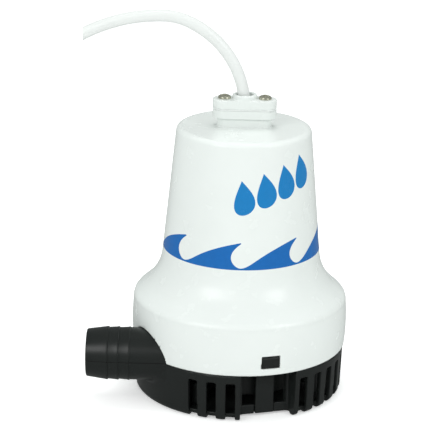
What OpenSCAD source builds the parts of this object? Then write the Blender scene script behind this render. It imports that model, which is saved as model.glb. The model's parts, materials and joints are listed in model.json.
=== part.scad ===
// Submersible bilge pump: a motor unit in a flared housing that snaps onto a strainer base with a side nozzle.
// Millimetres, +Z up. The origin is on the pump's axis in the plane of the feet. The nozzle points along -X.

/* [Strainer base] */
// Outer radius of the base wall just under the skirt
base_top_r = 57.3; // [57.0:0.1:57.5]
// Outer radius of the base wall near the floor
base_low_r = 56.5; // [56.0:0.1:57.0]
// Height of the ledge that the skirt rests on
ledge_z = 26.35; // [26.0:0.05:26.35]
// Top of the floor plate
floor_top_z = 3.6; // [3.2:0.1:4.0]
// Angle from one intake slot to the next
slot_pitch = 10.5; // [10.3:0.1:10.7]
// Width of an intake slot
slot_w = 5.1; // [4.0:0.1:5.5]
// Height of the top of the intake slots
slot_top_z = 21.4; // [18:0.1:21.5]
// Spacing of the two mounting holes
mount_spacing = 88; // [86:0.5:88]
// Radius of the mounting holes
mount_hole_r = 2.2; // [1.8:0.1:2.4]

/* [Latches] */
// Direction of the front latch; the rear one is opposite
latch_angle = -72.7; // [-76:0.1:-70]
// Width of the latch finger
finger_w = 10.2; // [9:0.1:10.4]
// Outer face of the finger, measured from the axis
finger_face = 49; // [48.8:0.1:49.4]
// Width of the housing window that the tab clicks into
window_w = 10.2; // [10.2:0.1:11]
// Height of the window's lower edge
window_low_z = 30.2; // [30:0.1:30.4]
// Height of the window
window_h = 7.2; // [7.2:0.1:7.6]

/* [Volute and nozzle] */
// Height of the nozzle's axis
nozzle_z = 26.4; // [26:0.1:26.6]
// Distance of the nozzle's axis in front of the pump's axis
nozzle_offset = 28.8; // [28.5:0.1:29]
// Distance from the pump's axis to the nozzle's tip
nozzle_tip = 81.6; // [78:0.1:84]
// Radius of the nozzle's ridges, which fit a 28.6 mm hose
ridge_r = 14.4; // [14.3:0.05:14.6]
// Radius of the nozzle's bore
nozzle_bore_r = 11.3; // [10.5:0.1:11.5]
// Underside of the casing's floor
casing_low_z = 9.4; // [8:0.1:10]
// Top of the casing's rim
casing_top_z = 40.6; // [40.6:0.1:41]
// Radius of the inlet eye
eye_r = 14; // [12:0.5:15]

/* [Housing] */
// Height of the skirt's lower edge
skirt_z = 26.4; // [26.4:0.1:26.6]
// Greatest radius of the skirt
skirt_r = 58.5; // [58.3:0.1:58.7]
// Height from the skirt's lower edge to the flat top
housing_h = 120.5; // [119:0.5:122]
// Wall thickness
wall = 2.5; // [2.2:0.1:2.6]

/* [Cable gland] */
// Distance from the axis to each of the two gland screws
gland_screw_at = 10.8; // [10.5:0.1:11.2]
// Radius of the gland's round ends
gland_end_r = 6.2; // [6.0:0.1:6.4]
// Radius of the supply cable
cable_r = 3.15; // [3.0:0.05:3.3]

/* [Motor and impeller] */
// Radius of the motor can
can_r = 29.5; // [28:0.5:30]
// Radius of the shaft
shaft_r = 2.5; // [2:0.1:2.6]
// Radius of the impeller
impeller_r = 27.5; // [25:0.5:27.5]
// Number of impeller vanes
vane_count = 5; // [4:1:6]
// Number of armature slots
armature_slots = 7; // [5:1:8]

/* [Hidden] */
$fn = 96;
eps = 0.01;
far = 200;

// Strainer base
base_in_r = 54.3;
foot_r = 3;
foot_in_r = 52.4;
floor_low_z = 1.2;
floor_r = 47.5;
slot_in_r = base_in_r - 0.3;
slot_foot_r = 50.6;
slot_foot_z = 1.4;
register_r = 54.9;
register_in_r = 52.4;
register_top_z = 30;
band_z = 20.45;
recess_face = 48;
recess_half = 15.5;
recess_side = 2.2;
bar_top_z = 6.4;
bar_depth = 2.4;
mount_boss_r = 3.4;
screw_angles = [for (k = [0 : 3]) latch_angle + 45 + 90 * k];
front_slots = [-4, -3, -2, 2, 3, 4, 5, 6, 7, 8];
rear_slots = [-8, -7, -6, -5, -4, -3, -2, 2, 3, 4, 5, 6];

// Latch fingers
pivot_face = 46.8;
pivot_z = 4.2;
pivot_r = 0.75;
pivot_play = 0.05;
finger_gap = 0.25;
finger_t = 1.8;
finger_top_z = 37.1;
tab_out = 57.75;
tab_w = 9.8;
tab_low_z = 30.6;
tab_top_z = 36.8;
tab_chamfer = 0.85;

// Volute: four arcs whose centres sit on a small square, so that the chamber grows clockwise
volute_wall = 2.5;
volute_step = 1.5;
volute_end_r = nozzle_offset + nozzle_bore_r - volute_step;
nozzle_root_r = 14.1;
nozzle_tip_r = 12.9;
valley_r = 13.9;
ridge_ends = [11.8, 17.6, 23.5];
ridge_land = 0.8;
gasket_t = 1;
chamber_z = 12;
pillar_at = 45;
pillar_r = 3.5;
pillar_top_z = 16;
screw_hole_r = 1.35;
screw_pass_r = 1.8;
screw_r = 1.3;
screw_head_r = 3.2;

// Housing outline: crowned skirt, shoulder, straight flare, concave waist, cone, rounded top
crown_r = 120;
crown_z = 13;
shoulder_z = 24.6;
shoulder_at = 53;
shoulder_r = 5;
flare_angle = 48.5;
waist_r = 28.7;
waist_at = 71.2;
waist_z = 53.5;
cone_angle = 5.45;
top_round = 3;
top_z = skirt_z + housing_h;
sleeve_in_r = 39.8;
sleeve_r = 43;
sleeve_top_z = 74;
boss_at = 44.6;
boss_r = 3.8;
boss_top_z = 58;

// Seal plate
plate_low_z = casing_top_z + gasket_t;
plate_t = 4;
plate_top_z = plate_low_z + plate_t;
plate_r = 48.4;
dish_r = 27.8;
dish_low_z = 31.5;
seal_r = 6.5;
oring_r = 0.8;
oring_at = 41.4;
motor_screw_at = 15;
motor_screw_r = 2;

// Gland: a neck on the housing carries a flange, then come the gasket and the cap. The grommet sits in the
// flange, and a spigot under the cap presses on it.
gland_neck_at = 9.6;
gland_neck_r = 4.9;
gland_flange_z = top_z + 4.8;
gland_flange_t = 4.7;
gland_gasket_t = 0.7;
gland_cap_h = 4.8;
collar_r = 6.5;
collar_h = 2.5;
gland_bore_r = 4.6;
gland_base_z = gland_flange_z + gland_flange_t;
gland_cap_z = gland_base_z + gland_gasket_t;
gland_top_z = gland_cap_z + gland_cap_h;
gland_pocket_r = 5.2;
grommet_z = gland_flange_z + 0.6;
spigot_z = gland_base_z - 0.3;
pan_head_r = 3.5;
pan_head_h = 2.2;
gland_screw_shank_r = 1.7;
gland_screw_l = 12;

// Cable: an upright start, then three bends. The second bend's centre is a 5-12 step from the first one's, so
// their radii differ by the step's length, and the third bend starts at the top of the second.
cable_bend_z = 156;
cable_step = 1.4 * [5, 12];
cable_bends = [51, 51 - norm(cable_step), 88];
bend_1 = [-cable_bends[0], cable_bend_z];
bend_2 = bend_1 + cable_step;
bend_3 = bend_2 + [0, cable_bends[1] - cable_bends[2]];
cable_end_x = -86.1;
jacket_end_z = 140;
lead_r = 1.2;
lead_offset = 1.3;
copper_r = 0.75;
lead_bend_r = 6;
lead_drop_z = 128;

// Motor
can_low_z = plate_top_z;
can_top_z = 112;
can_t = 1.6;
bearing_r = 6;
running_gap = 0.04;
magnet_in_r = 22;
magnet_low_z = 55;
magnet_top_z = 95;
magnet_span = 125;
core_r = 21.3;
core_low_z = 57;
core_top_z = 93.5;
slot_at = 14.5;
coil_r = 3.2;
coil_gap = 0.2;
commutator_r = 8.1;
commutator_low_z = 97.5;
commutator_top_z = 107.5;
commutator_bars = 14;
brush_plate_z = 108.5;
brush_w = 5;
brush_l = 6.5;
brush_h = 6;
brush_z = 100;
terminal_at = lead_offset + 2 * lead_bend_r;
shaft_low_z = 9.8;
shaft_top_z = 116;
impeller_low_z = 13.2;
impeller_disc_z = 28.3;
impeller_top_z = 30.3;
hub_r = 7;

// Colours
black_plastic = [0.13, 0.15, 0.14];
white_plastic = [0.93, 0.95, 0.94];
rubber_black = [0.08, 0.08, 0.08];
rubber_grey = [0.75, 0.77, 0.76];
steel = [0.72, 0.72, 0.7];
copper = [0.75, 0.42, 0.25];
brass = [0.78, 0.65, 0.35];

// A disc with a hole, standing on the plane z
module tube(r, in_r, z, h) {
    translate([0, 0, z])
        difference() {
            cylinder(r = r, h = h);
            translate([0, 0, -1]) cylinder(r = in_r, h = h + 2);
        }
}

// An upright cylinder at a distance and angle from the axis
module post(at, angle, r, z, h) {
    rotate([0, 0, angle]) translate([at, 0, z]) cylinder(r = r, h = h);
}

// Points along an arc in a plane, from one angle to another
function arc_points(at, r, from, to, steps) =
    [for (k = [0 : steps]) let (a = from + (to - from) * k / steps) at + r * [cos(a), sin(a)]];

// The plan of a pie slice, reaching out to radius r
module slice(r, from, to) {
    polygon(concat([[0, 0]], [for (k = [0 : 4]) let (a = from + (to - from) * k / 4) r * [cos(a), sin(a)]]));
}

// ---- Strainer base ----

module base_wall() {
    foot = arc_points([base_low_r - foot_r, foot_r], foot_r, -90, 0, 6);
    rotate_extrude()
        polygon(concat(
            [[0, floor_low_z], [foot_in_r - floor_low_z, floor_low_z], [foot_in_r, 0]],
            foot,
            [
                [base_top_r, ledge_z], [register_r, ledge_z], [register_r, register_top_z],
                [register_in_r, register_top_z], [register_in_r, band_z + 1.5], [base_in_r, band_z],
                [base_in_r, floor_top_z], [0, floor_top_z],
            ]
        ));
}

// One slot through the wall. Under it the foot is cut away further in, so that the floor hangs free
module intake_slot(angle) {
    rotate([0, 0, angle]) {
        translate([slot_in_r, -slot_w / 2, 0]) cube([20, slot_w, slot_top_z]);
        translate([slot_foot_r, -slot_w / 2, -1]) cube([20, slot_w, slot_foot_z + 1]);
    }
}

module intake_slots() {
    for (k = front_slots) intake_slot(latch_angle + slot_pitch * k);
    for (k = rear_slots) intake_slot(latch_angle + 180 + slot_pitch * k);
}

// The open recess in the wall round a latch finger, cut back to a flat face
module recess_cut() {
    translate([0, 0, -1])
        linear_extrude(height = register_top_z + 2)
            intersection() {
                slice(70, -recess_half, recess_half);
                translate([recess_face, -30]) square([30, 60]);
            }
}

// The upright walls at each side of the recess
module recess_sides() {
    for (side = [0, 1])
        mirror([0, side, 0])
            rotate([0, 0, recess_half])
                translate([floor_r - 1, -1, floor_low_z])
                    cube([base_in_r - floor_r + 2, recess_side + 1, ledge_z - floor_low_z - 1]);
}

// The low bar across the recess
module recess_bar() {
    half_w = recess_face * tan(recess_half);
    translate([recess_face - bar_depth, -half_w - 1, floor_low_z])
        cube([bar_depth, 2 * half_w + 2, bar_top_z - floor_low_z]);
}

// The gap in the bar and floor for the finger, and the sockets for its root
module finger_socket() {
    gap_w = finger_w + 2 * finger_gap;
    translate([recess_face - 3.5, -gap_w / 2, -1]) cube([20, gap_w, far]);
    translate([pivot_face, 0, pivot_z])
        rotate([90, 0, 0]) cylinder(r = pivot_r + pivot_play, h = finger_w + 4, center = true);
}

module strainer_base() {
    color(black_plastic)
        difference() {
            union() {
                difference() {
                    union() {
                        base_wall();
                        for (side = [0, 180]) rotate([0, 0, latch_angle + side]) recess_sides();
                        for (side = [0, 180]) post(mount_spacing / 2, side, mount_boss_r, 0, floor_top_z);
                    }
                    for (side = [0, 180]) rotate([0, 0, latch_angle + side]) recess_cut();
                    intake_slots();
                }
                for (side = [0, 180]) rotate([0, 0, latch_angle + side]) recess_bar();
            }
            for (side = [0, 180]) rotate([0, 0, latch_angle + side]) finger_socket();
            nozzle_notch();
            for (side = [-1, 1])
                translate([side * mount_spacing / 2, 0, -1]) cylinder(r = mount_hole_r, h = 10);
            for (a = screw_angles) {
                post(pillar_at, a, screw_pass_r, -1, 10);
                rotate([0, 0, a])
                    translate([pillar_at, 0, floor_low_z - eps])
                        cylinder(r1 = screw_head_r, r2 = screw_pass_r, h = screw_head_r - screw_pass_r);
            }
        }
}

// The upright notch in the wall that the nozzle drops into
module nozzle_notch() {
    notch_r = nozzle_root_r + 0.1;
    translate([-far, -nozzle_offset, nozzle_z])
        rotate([0, 90, 0]) cylinder(r = notch_r, h = far - 20);
    translate([-far, -nozzle_offset - notch_r, nozzle_z]) cube([far - 20, 2 * notch_r, 20]);
}

// ---- Latches ----

module latch(angle) {
    profile = [
        [finger_face - finger_t - 1, floor_low_z + 0.4], [finger_face, floor_low_z + 0.4],
        [finger_face, finger_top_z], [finger_face - finger_t, finger_top_z],
        [finger_face - finger_t, bar_top_z + 4], [finger_face - finger_t - 1, bar_top_z],
    ];
    tab = [
        [finger_face - 0.5, tab_low_z], [tab_out, tab_low_z], [tab_out, tab_top_z - tab_chamfer],
        [tab_out - tab_chamfer, tab_top_z], [finger_face - 0.5, tab_top_z],
    ];
    color(black_plastic)
        rotate([0, 0, angle])
            union() {
                translate([0, finger_w / 2, 0])
                    rotate([90, 0, 0]) linear_extrude(height = finger_w) polygon(profile);
                translate([0, tab_w / 2, 0])
                    rotate([90, 0, 0]) linear_extrude(height = tab_w) polygon(tab);
                translate([pivot_face, 0, pivot_z])
                    rotate([90, 0, 0]) cylinder(r = pivot_r, h = finger_w + 3.4, center = true);
            }
}

module front_latch() {
    latch(latch_angle);
}

module rear_latch() {
    latch(latch_angle + 180);
}

// ---- Volute casing ----

// The chamber's plan, grown outwards by extra: four quarter arcs that meet without a kink
module volute_plan(extra) {
    c = volute_step;
    centres = [[-c, c], [c, c], [c, -c], [-c, -c]];
    quarters = [[-1, -1], [-1, 1], [1, 1], [1, -1]];
    for (k = [0 : 3])
        intersection() {
            translate(centres[k]) circle(r = volute_end_r - 2 * c * (3 - k) + extra);
            translate([
                quarters[k][0] > 0 ? centres[k][0] : centres[k][0] - far,
                quarters[k][1] > 0 ? centres[k][1] : centres[k][1] - far,
            ]) square(far);
        }
    square(2 * c + eps, center = true);
}

// Half-outline of the nozzle, from the tip inwards: a tip lead-in and three ridges with short lands
function nozzle_outline() = concat(
    [[0, 0], [nozzle_tip_r - 1, 0], [nozzle_tip_r, 1]],
    [for (k = [0 : 2]) each [
        [ridge_r, ridge_ends[k] - ridge_land],
        [ridge_r, ridge_ends[k]],
        [k < 2 ? valley_r : nozzle_root_r, ridge_ends[k] + 0.15],
    ]],
    [[nozzle_root_r, nozzle_tip - volute_step], [0, nozzle_tip - volute_step]]
);

module volute_casing() {
    color(black_plastic)
        difference() {
            union() {
                translate([0, 0, casing_low_z])
                    linear_extrude(height = casing_top_z - casing_low_z) volute_plan(volute_wall);
                translate([-nozzle_tip, -nozzle_offset, nozzle_z])
                    rotate([0, 90, 0]) rotate_extrude() polygon(nozzle_outline());
                for (a = screw_angles) {
                    post(pillar_at, a, pillar_r, floor_top_z, pillar_top_z - floor_top_z);
                    rotate([0, 0, a])
                        translate([30, -pillar_r, casing_low_z])
                            cube([pillar_at - 30, 2 * pillar_r, pillar_top_z - casing_low_z]);
                }
            }
            translate([0, 0, chamber_z]) linear_extrude(height = far) volute_plan(0);
            translate([-nozzle_tip - 1, -nozzle_offset, nozzle_z])
                rotate([0, 90, 0]) cylinder(r = nozzle_bore_r, h = nozzle_tip + 1 - volute_step);
            translate([0, 0, casing_low_z - 1]) cylinder(r = eye_r, h = 10);
            for (a = screw_angles) post(pillar_at, a, screw_hole_r, floor_top_z - 1, 11.4);
        }
}

module countersunk_screw(head_z, length) {
    cone_h = screw_head_r - screw_r;
    translate([0, 0, head_z])
        difference() {
            union() {
                cylinder(r1 = screw_head_r - 0.3, r2 = screw_r, h = cone_h - 0.3);
                cylinder(r = screw_r, h = length);
            }
            translate([0, 0, -1]) cross_recess(3.4, 2);
        }
}

// Crossed slots of a screwdriver recess
module cross_recess(span, depth) {
    for (turn = [0, 90])
        rotate([0, 0, turn]) translate([-span / 2, -0.45, 0]) cube([span, 0.9, depth]);
}

module casing_screws() {
    color(steel)
        for (a = screw_angles)
            rotate([0, 0, a]) translate([pillar_at, 0, 0]) countersunk_screw(floor_low_z + 0.1, 11);
}

module volute_gasket() {
    color(rubber_black)
        translate([0, 0, casing_top_z])
            linear_extrude(height = gasket_t)
                difference() {
                    volute_plan(volute_wall - 0.2);
                    volute_plan(0.2);
                }
}

// ---- Motor housing ----

// Housing outline at a depth inside the outer surface, from the skirt's edge up to the axis
function housing_outline(depth) = let (
    crown = [for (k = [0 : 8])
        let (z = shoulder_z * k / 8, out = sqrt(pow(crown_r, 2) - pow(z - crown_z, 2)) - crown_r)
            [skirt_r + out - depth, z]],
    shoulder = arc_points([shoulder_at, shoulder_z], shoulder_r - depth, 9, flare_angle, 6),
    waist = arc_points([waist_at, waist_z], waist_r + depth, 180 + flare_angle, 180 + cone_angle, 14),
    waist_end = waist[14],
    round_r = top_round - depth / 2,
    round_z = housing_h - depth - round_r,
    cone_r = waist_end[0] - (round_z - waist_end[1]) * tan(cone_angle),
    top = arc_points([cone_r - round_r, round_z], round_r, cone_angle, 90, 6)
) concat(crown, shoulder, waist, top, [[0, housing_h - depth]]);

module housing_shell() {
    translate([0, 0, skirt_z])
        rotate_extrude()
            difference() {
                polygon(concat([[0, 0]], housing_outline(0)));
                translate([0, -eps]) polygon(concat([[0, 0]], housing_outline(wall)));
            }
}

// A plan with two round ends, whose centres are the given distance either side of the axis
module gland_plan(at, end_r) {
    for (side = [-1, 1]) translate([side * at, 0]) circle(r = end_r);
    square([2 * at, 2 * end_r], center = true);
}

module gland_posts(r, z, h) {
    for (side = [0, 180]) post(gland_screw_at, side, r, z, h);
}

module motor_housing() {
    color(white_plastic)
        difference() {
            union() {
                housing_shell();
                tube(sleeve_r, sleeve_in_r, plate_top_z, sleeve_top_z - plate_top_z);
                for (a = screw_angles) post(boss_at, a, boss_r, plate_top_z, boss_top_z - plate_top_z);
                translate([0, 0, top_z - 1])
                    linear_extrude(height = gland_flange_z - top_z + 2) gland_plan(gland_neck_at, gland_neck_r);
                translate([0, 0, gland_flange_z])
                    linear_extrude(height = gland_flange_t) gland_plan(gland_screw_at, gland_end_r);
            }
            translate([0, 0, plate_top_z - 1]) cylinder(r = sleeve_in_r, h = sleeve_top_z - plate_top_z);
            for (a = screw_angles) post(boss_at, a, screw_hole_r, plate_top_z - 1, 10);
            for (side = [0, 180])
                rotate([0, 0, latch_angle + side])
                    translate([50, -window_w / 2, window_low_z]) cube([15, window_w, window_h]);
            translate([-80, -nozzle_offset, nozzle_z])
                rotate([0, 90, 0]) cylinder(r = nozzle_root_r + 0.5, h = 60);
            translate([0, 0, top_z - 10]) cylinder(r = cable_r + 0.2, h = 20);
            translate([0, 0, grommet_z]) cylinder(r = gland_pocket_r, h = 20);
            gland_posts(1.5, gland_top_z - gland_screw_l - 1, 20);
        }
}

// ---- Cable gland ----

module gland_gasket() {
    color(rubber_grey)
        difference() {
            translate([0, 0, gland_base_z])
                linear_extrude(height = gland_gasket_t) gland_plan(gland_screw_at, gland_end_r - 0.25);
            translate([0, 0, gland_base_z - 1]) cylinder(r = gland_pocket_r, h = 4);
            gland_posts(gland_screw_shank_r + 0.2, gland_base_z - 1, 4);
        }
}

module gland_cap() {
    color(white_plastic)
        difference() {
            union() {
                translate([0, 0, gland_cap_z])
                    linear_extrude(height = gland_cap_h) gland_plan(gland_screw_at, gland_end_r);
                translate([0, 0, gland_cap_z]) cylinder(r = collar_r, h = gland_cap_h + collar_h);
                translate([0, 0, spigot_z]) cylinder(r = gland_pocket_r - 0.2, h = 2);
            }
            translate([0, 0, spigot_z - 1]) cylinder(r = cable_r + 0.45, h = 20);
            translate([0, 0, gland_cap_z + 0.6]) cylinder(r = gland_bore_r, h = 20);
            gland_posts(gland_screw_shank_r + 0.1, gland_cap_z - 1, 20);
        }
}

module gland_screws() {
    color(steel)
        for (side = [0, 180])
            rotate([0, 0, side])
                translate([gland_screw_at, 0, gland_top_z])
                    difference() {
                        union() {
                            rotate_extrude()
                                polygon(concat(
                                    [[0, 0], [pan_head_r, 0]],
                                    arc_points([pan_head_r - 1.6, 0.6], 1.6, 0, 90, 5),
                                    [[0, pan_head_h]]
                                ));
                            translate([0, 0, -gland_screw_l]) cylinder(r = 1.45, h = gland_screw_l + 0.1);
                        }
                        translate([0, 0, pan_head_h - 1.3]) cross_recess(3.8, 4);
                    }
}

module cable_grommet() {
    color(rubber_black)
        tube(gland_pocket_r - 0.05, cable_r, grommet_z, spigot_z - 0.1 - grommet_z);
}

// ---- Cable ----

// The upright plane that the cable bends in, as a plan: x stays, y becomes the height
module bend_plane(thick) {
    rotate([90, 0, 0]) linear_extrude(height = thick, center = true) children();
}

// A full ring of cable, set sideways by offset
module cable_ring(centre, bend_r, r, offset) {
    translate([centre[0], -offset, centre[1]])
        rotate([90, 0, 0]) rotate_extrude() translate([bend_r, 0]) circle(r = r, $fn = 32);
}

// The half-plane before the joint of the first two bends, whose centres lie on its edge
module before_joint() {
    along = far * cable_step / norm(cable_step);
    bend_plane(60) polygon([bend_1 - along, bend_1 + along, [far, bend_1[1] + far], [far, 0], [0, 0]]);
}

// The whole run from z up to the cut end: upright, then three bends that meet without a kink
module cable_run(r, offset, z) {
    translate([0, -offset, z]) cylinder(r = r, h = cable_bend_z - z, $fn = 32);
    intersection() {
        cable_ring(bend_1, cable_bends[0], r, offset);
        before_joint();
        bend_plane(60) translate(bend_1) square([far, far]);
    }
    difference() {
        intersection() {
            cable_ring(bend_2, cable_bends[1], r, offset);
            bend_plane(60) translate([bend_2[0], 0]) square([far, far + far]);
        }
        before_joint();
    }
    intersection() {
        cable_ring(bend_3, cable_bends[2], r, offset);
        bend_plane(60) translate([cable_end_x, bend_3[1]]) square([bend_3[0] - cable_end_x, far]);
    }
}

module cable_jacket() {
    color(white_plastic)
        difference() {
            cable_run(cable_r, 0, jacket_end_z);
            cable_run(lead_r, lead_offset, jacket_end_z - 1);
            cable_run(lead_r, -lead_offset, jacket_end_z - 1);
        }
}

// A lead's run inside the housing: down from the jacket, then a double bend out to its terminal
module lead_tail(r) {
    translate([0, lead_offset, lead_drop_z]) cylinder(r = r, h = jacket_end_z - lead_drop_z, $fn = 32);
    translate([0, lead_offset + lead_bend_r, lead_drop_z])
        rotate([90, 0, 90])
            rotate([0, 0, 180])
                rotate_extrude(angle = 90) translate([lead_bend_r, 0]) circle(r = r, $fn = 32);
    translate([0, terminal_at - lead_bend_r, lead_drop_z - 2 * lead_bend_r])
        rotate([90, 0, 90])
            rotate_extrude(angle = 90) translate([lead_bend_r, 0]) circle(r = r, $fn = 32);
    translate([0, terminal_at, lead_drop_z - 2 * lead_bend_r - 2]) cylinder(r = r, h = 2, $fn = 32);
}

// A lead from its terminal to the cut end, on the side given by 1 or -1
module lead_run(r, side) {
    mirror([0, side > 0 ? 0 : 1, 0]) lead_tail(r);
    cable_run(r, -side * lead_offset, jacket_end_z);
}

module positive_lead() {
    color([0.42, 0.2, 0.1])
        difference() {
            lead_run(lead_r, 1);
            lead_run(copper_r, 1);
        }
}

module negative_lead() {
    color([0.06, 0.06, 0.06])
        difference() {
            lead_run(lead_r, -1);
            lead_run(copper_r, -1);
        }
}

module copper_conductors() {
    color(copper)
        for (side = [-1, 1]) lead_run(copper_r, side);
}

// ---- Motor ----

module motor_can() {
    color(steel)
        difference() {
            union() {
                tube(can_r, can_r - can_t, can_low_z, can_top_z - can_low_z);
                translate([0, 0, can_low_z]) cylinder(r = can_r, h = can_t);
                translate([0, 0, can_low_z]) cylinder(r = bearing_r + 1.6, h = 7);
            }
            translate([0, 0, can_low_z - 1]) cylinder(r = bearing_r, h = 10);
            for (side = [0, 180]) post(motor_screw_at, side, motor_screw_r, can_low_z - 1, 4);
        }
}

module field_magnets() {
    color([0.22, 0.22, 0.24])
        for (side = [0, 180])
            rotate([0, 0, side - magnet_span / 2])
                rotate_extrude(angle = magnet_span)
                    translate([magnet_in_r, magnet_low_z])
                        square([can_r - can_t - running_gap - magnet_in_r, magnet_top_z - magnet_low_z]);
}

module brush_plate() {
    holder_l = 9;
    holder_top = brush_plate_z + 1;
    color([0.2, 0.16, 0.12])
        difference() {
            union() {
                translate([0, 0, brush_plate_z])
                    cylinder(r = can_r - can_t, h = can_top_z - brush_plate_z);
                translate([0, 0, brush_plate_z]) cylinder(r = bearing_r + 2, h = 9);
                for (side = [0, 180])
                    rotate([0, 0, side])
                        translate([-brush_w / 2 - 1.5, commutator_r + 1, brush_z - 1.5])
                            cube([brush_w + 3, holder_l, holder_top - brush_z + 1.5]);
            }
            translate([0, 0, brush_plate_z - 1]) cylinder(r = bearing_r, h = 9);
            for (side = [0, 180])
                rotate([0, 0, side]) {
                    translate([-brush_w / 2 - 0.05, 0, brush_z - 0.05])
                        cube([brush_w + 0.1, 40, brush_h + 0.1]);
                    translate([-2.1, terminal_at - 0.45, brush_plate_z - 1]) cube([4.2, 0.9, 10]);
                }
        }
}

module carbon_brushes() {
    color([0.12, 0.12, 0.13])
        for (side = [0, 180])
            rotate([0, 0, side])
                difference() {
                    translate([-brush_w / 2, commutator_r - 1, brush_z]) cube([brush_w, brush_l + 1, brush_h]);
                    translate([0, 0, brush_z - 1]) cylinder(r = commutator_r + 0.05, h = brush_h + 2);
                }
}

// Bent strip springs that press the brushes inwards
module brush_springs() {
    strip = 0.4;
    at = commutator_r + brush_l;
    color(copper)
        for (side = [0, 180])
            rotate([0, 0, side]) {
                translate([-1.8, at, brush_z + 0.6]) cube([3.6, strip, brush_h - 1.2]);
                translate([-1.8, at, brush_z + 0.6]) cube([3.6, 6, strip]);
                translate([-1.8, at + 6 - strip, brush_z + 0.6])
                    cube([3.6, strip, brush_plate_z - brush_z - 0.6]);
            }
}

module terminals() {
    cup_z = lead_drop_z - 2 * lead_bend_r - 3;
    color(brass)
        for (side = [-1, 1])
            translate([0, side * terminal_at, 0])
                difference() {
                    union() {
                        translate([-2, -0.4, brush_plate_z]) cube([4, 0.8, cup_z - brush_plate_z + 1]);
                        translate([0, 0, cup_z]) cylinder(r = lead_r + 0.5, h = 3);
                    }
                    translate([0, 0, cup_z + 1]) cylinder(r = lead_r, h = 3);
                }
}

module bearing(z, h) {
    color(brass)
        tube(bearing_r, shaft_r + running_gap, z, h);
}

module upper_bearing() {
    bearing(brush_plate_z + 1.2, 6.8);
}

module lower_bearing() {
    bearing(can_low_z + 0.2, 6.4);
}

module seal_plate() {
    color(white_plastic)
        difference() {
            union() {
                translate([0, 0, plate_low_z]) cylinder(r = plate_r, h = plate_t);
                translate([0, 0, dish_low_z]) cylinder(r = dish_r, h = plate_top_z - dish_low_z);
            }
            difference() {
                translate([0, 0, dish_low_z + 2.5]) cylinder(r = dish_r - 2.5, h = far);
                translate([0, 0, dish_low_z]) cylinder(r = seal_r + 2.5, h = 11);
                for (side = [0, 180])
                    post(motor_screw_at, side, motor_screw_r + 2.4, dish_low_z, plate_top_z - dish_low_z);
            }
            translate([0, 0, dish_low_z - 1]) cylinder(r = seal_r, h = 8);
            translate([0, 0, dish_low_z - 1]) cylinder(r = shaft_r + 0.8, h = 30);
            translate([0, 0, plate_top_z - 2 * oring_r])
                difference() {
                    cylinder(r = oring_at + oring_r + 0.1, h = 10);
                    translate([0, 0, -1]) cylinder(r = oring_at - oring_r - 0.1, h = 12);
                }
            for (side = [0, 180]) {
                post(motor_screw_at, side, motor_screw_r + 0.1, dish_low_z - 1, 30);
                post(motor_screw_at, side, 3.7, dish_low_z - 1, 3.5);
            }
            for (a = screw_angles) {
                post(boss_at, a, screw_pass_r, plate_low_z - 1, 10);
                rotate([0, 0, a])
                    translate([boss_at, 0, plate_low_z - eps])
                        cylinder(r1 = screw_head_r, r2 = screw_pass_r, h = screw_head_r - screw_pass_r);
            }
        }
}

module seal_plate_ring() {
    color(rubber_black)
        translate([0, 0, plate_top_z - oring_r])
            rotate_extrude() translate([oring_at, 0]) circle(r = oring_r, $fn = 32);
}

module shaft_seal() {
    color(rubber_black)
        tube(seal_r, shaft_r + running_gap, dish_low_z + 0.5, 6);
}

module seal_plate_screws() {
    color(steel)
        for (a = screw_angles)
            rotate([0, 0, a]) translate([boss_at, 0, 0]) countersunk_screw(plate_low_z + 0.1, 11.5);
}

module motor_screws() {
    head_h = 2.4;
    color(steel)
        for (side = [0, 180])
            rotate([0, 0, side])
                translate([motor_screw_at, 0, dish_low_z + 0.1])
                    difference() {
                        union() {
                            cylinder(r = 3.5, h = head_h);
                            cylinder(r = motor_screw_r - 0.02, h = can_low_z + can_t - dish_low_z + 1);
                        }
                        translate([0, 0, -1]) cross_recess(4, 2.2);
                    }
}

// ---- Rotor ----

module motor_shaft() {
    color(steel)
        translate([0, 0, shaft_low_z]) cylinder(r = shaft_r, h = shaft_top_z - shaft_low_z);
}

module thrust_washers() {
    color(brass) {
        tube(5, shaft_r, can_low_z + 6.75, 0.8);
        tube(5, shaft_r, brush_plate_z + 0.25, 0.8);
    }
}

module armature_core() {
    color(steel)
        difference() {
            tube(core_r, shaft_r, core_low_z, core_top_z - core_low_z);
            for (k = [0 : armature_slots - 1])
                rotate([0, 0, 360 / armature_slots * k]) {
                    translate([slot_at, 0, core_low_z - 1])
                        cylinder(r = coil_r + coil_gap, h = core_top_z - core_low_z + 2);
                    translate([slot_at, -1, core_low_z - 1])
                        cube([20, 2, core_top_z - core_low_z + 2]);
                }
        }
}

// Wire bundles in the slots, joined by a ring of end turns above and below the core
module armature_windings() {
    turns_h = 2.6;
    color(copper) {
        for (k = [0 : armature_slots - 1])
            post(slot_at, 360 / armature_slots * k, coil_r, core_low_z - 0.6, core_top_z - core_low_z + 1.2);
        for (z = [core_low_z - 0.5 - turns_h, core_top_z + 0.5])
            translate([0, 0, z])
                rotate_extrude()
                    polygon([[9, 0.5], [10.5, 0], [17, 0], [18.6, 0.8], [18.6, turns_h], [9, turns_h]]);
    }
}

module commutator() {
    color(copper)
        difference() {
            union() {
                tube(commutator_r, shaft_r, commutator_low_z, commutator_top_z - commutator_low_z);
                tube(commutator_r + 0.8, shaft_r, commutator_low_z, 1.4);
            }
            for (k = [0 : commutator_bars - 1])
                rotate([0, 0, 360 / commutator_bars * k])
                    translate([commutator_r - 0.7, -0.2, commutator_low_z - 1]) cube([4, 0.4, 20]);
        }
}

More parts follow.
